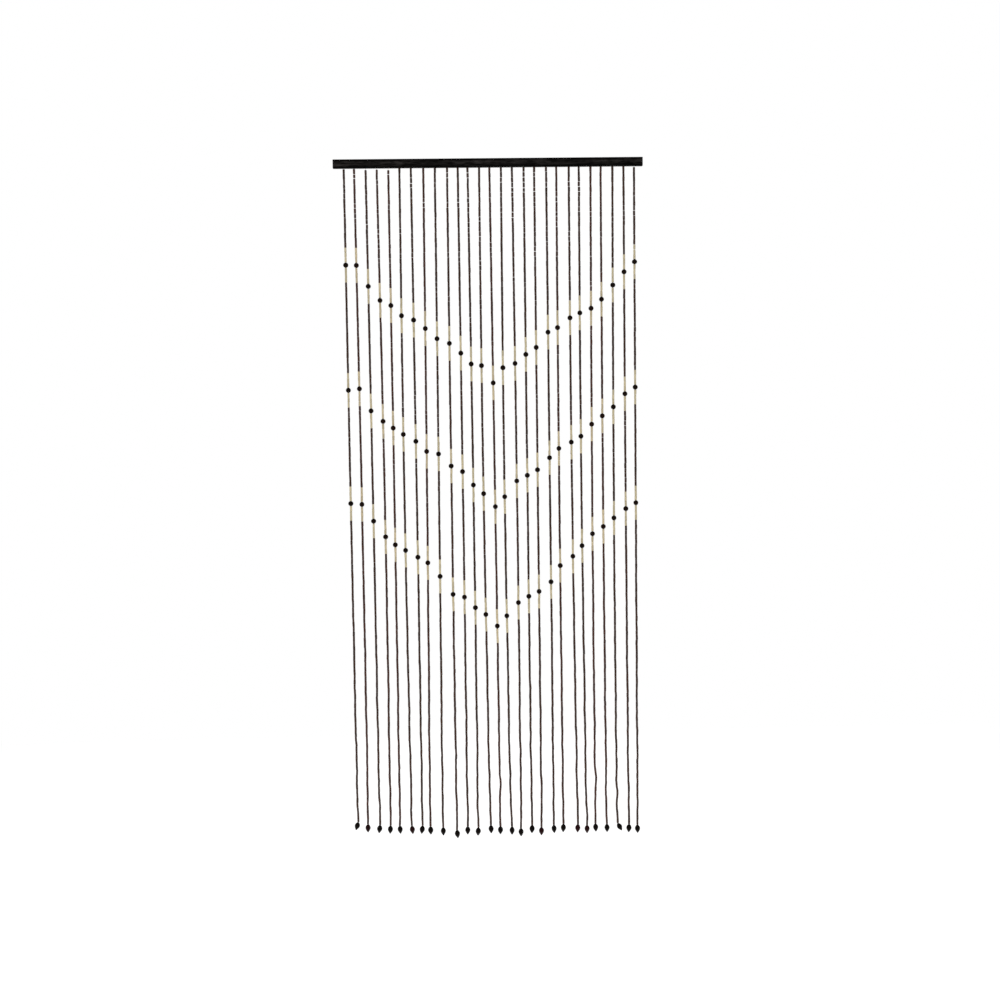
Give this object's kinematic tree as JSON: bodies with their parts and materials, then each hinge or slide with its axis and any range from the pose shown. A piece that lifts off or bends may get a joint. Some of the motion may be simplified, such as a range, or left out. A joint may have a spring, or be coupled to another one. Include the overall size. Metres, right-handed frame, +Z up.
{
  "type": "bead curtain with rail",
  "caption": "Hanging bead curtain for a doorway: strings of dark tube beads with pale bands and round beads in V rows, on a flat black wooden rail.",
  "frame": {"origin": "middle of the rail's top face", "axes": "+X along the rail to the right, +Y to the back, +Z up"},
  "size_m": [0.9, 0.0177, 2.0064],
  "materials": {
    "rail_wood": "black paint, satin",
    "strand_beads": "dark brown stain, satin, with pale natural bands",
    "drop_beads": "dark brown stain, satin"
  },
  "bodies": {
    "root": {"rail": "rail_wood", "strands": "strand_beads", "drop_01": "drop_beads", "drop_02": "drop_beads", "drop_03": "drop_beads", "drop_04": "drop_beads", "drop_05": "drop_beads", "drop_06": "drop_beads", "drop_07": "drop_beads", "drop_08": "drop_beads", "drop_09": "drop_beads", "drop_10": "drop_beads", "drop_11": "drop_beads", "drop_12": "drop_beads", "drop_13": "drop_beads", "drop_14": "drop_beads", "drop_15": "drop_beads", "drop_16": "drop_beads", "drop_17": "drop_beads", "drop_18": "drop_beads", "drop_19": "drop_beads", "drop_20": "drop_beads", "drop_21": "drop_beads", "drop_22": "drop_beads", "drop_23": "drop_beads", "drop_24": "drop_beads", "drop_25": "drop_beads", "drop_26": "drop_beads", "drop_27": "drop_beads"}
  },
  "joints": []
}
